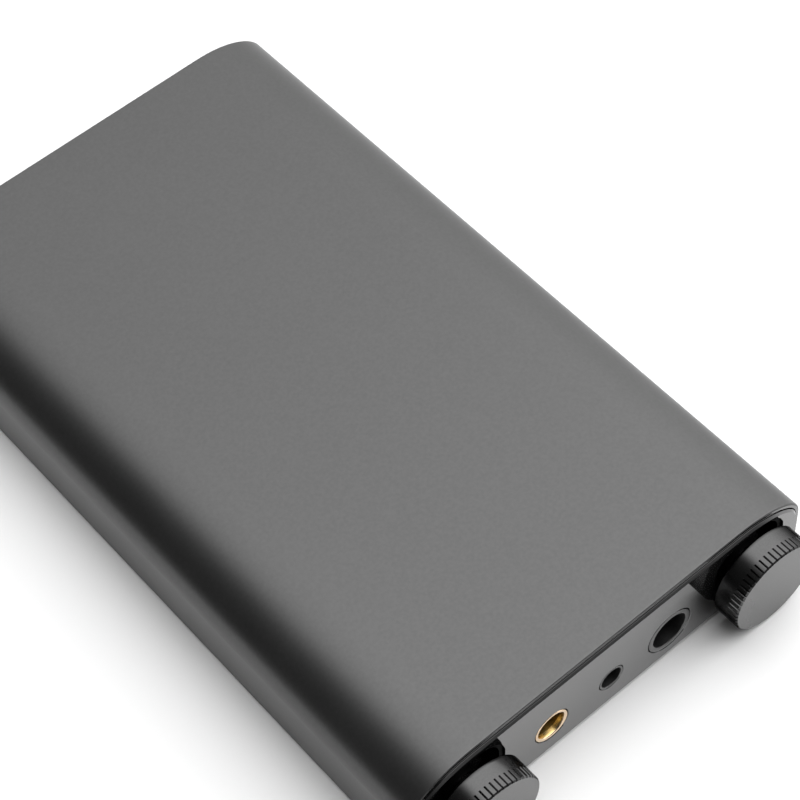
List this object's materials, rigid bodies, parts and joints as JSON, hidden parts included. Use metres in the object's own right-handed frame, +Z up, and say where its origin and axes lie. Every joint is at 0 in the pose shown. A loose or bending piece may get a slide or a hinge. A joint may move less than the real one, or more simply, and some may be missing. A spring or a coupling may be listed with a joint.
{
  "type": "headphone amplifier",
  "caption": "Flat portable headphone amplifier in a rounded metal sleeve, with two knurled corner knobs and headphone sockets on its front panel, shown underside up.",
  "frame": {"origin": "on the face it rests on, the display face, at the middle of the sleeve's width and length", "axes": "+X across the width, -Y out of the front panel with the sockets, +Z up from the display face to the underside"},
  "size_m": [0.084, 0.1467, 0.0198],
  "materials": {
    "anodised": "bead-blasted dark grey anodised",
    "panel_anodised": "bead-blasted dark grey anodised",
    "knob_anodised": "satin dark grey anodised",
    "rear_plastic": "fine matte",
    "pocket_black": "matte",
    "socket_black": "matte",
    "gold_plate": "polished gold plate",
    "bright_steel": "plain",
    "dark_steel": "blackened",
    "window_glass": "tinted, polished",
    "display_black": "matte",
    "amber_film": "gloss",
    "cream_plastic": "matte",
    "circuit_board": "satin lacquer",
    "chip_black": "matte",
    "cell_foil": "satin foil",
    "foam": "matte",
    "red_wire": "satin",
    "black_wire": "satin",
    "ceramic_white": "matte"
  },
  "bodies": {
    "base": {"sleeve": "anodised", "front_panel": "panel_anodised", "jack_635_collar": "panel_anodised", "jack_35_collar": "panel_anodised", "line_jack_collar": "panel_anodised", "rear_panel": "rear_plastic", "volume_pocket": "pocket_black", "menu_pocket": "pocket_black", "jack_635_body": "socket_black", "jack_44_body": "socket_black", "jack_35_body": "socket_black", "line_jack_body": "socket_black", "usb_tongues": "socket_black", "jack_44_collar": "gold_plate", "jack_635_contact": "gold_plate", "jack_44_contact": "gold_plate", "jack_35_contact": "gold_plate", "line_jack_contact": "gold_plate", "board_screws": "bright_steel", "usb_data_socket": "bright_steel", "usb_charge_socket": "bright_steel", "card_reader": "bright_steel", "shield_can": "bright_steel", "clock_crystals": "bright_steel", "menu_dome": "bright_steel", "panel_screws": "dark_steel", "bushing_nuts": "dark_steel", "volume_pot": "dark_steel", "menu_encoder": "dark_steel", "display_glass": "window_glass", "display_module": "display_black", "display_ribbon": "amber_film", "ribbon_socket": "cream_plastic", "battery_plug": "cream_plastic", "output_relays": "cream_plastic", "main_board": "circuit_board", "dac_chip": "chip_black", "processor": "chip_black", "amp_chips": "chip_black", "power_inductors": "chip_black", "filter_capacitors": "chip_black", "battery": "cell_foil", "battery_pads": "foam", "thermal_pad": "foam", "battery_lead_red": "red_wire", "battery_lead_black": "black_wire", "antenna": "ceramic_white"},
    "volume_rotor": {"volume_knob": "knob_anodised", "volume_shaft": "bright_steel", "volume_grub_screw": "dark_steel"},
    "menu_push_rod": {"menu_plunger": "cream_plastic"},
    "menu_rotor": {"menu_knob": "knob_anodised", "menu_shaft": "bright_steel", "menu_grub_screw": "dark_steel"}
  },
  "joints": [
    {"name": "volume_turn", "type": "hinge", "parent": "base", "child": "volume_rotor", "pos_m": [0.03, -0.07, 0.0093], "axis": [0, -1, 0], "range_deg": [-150, 150]},
    {"name": "menu_push", "type": "slide", "parent": "base", "child": "menu_push_rod", "axis": [0, 1, 0], "range_m": [0, 0.0005], "stiffness_N_per_m": 2500},
    {"name": "menu_turn", "type": "hinge", "parent": "menu_push_rod", "child": "menu_rotor", "pos_m": [-0.03, -0.07, 0.0093], "axis": [0, -1, 0], "continuous": true}
  ]
}
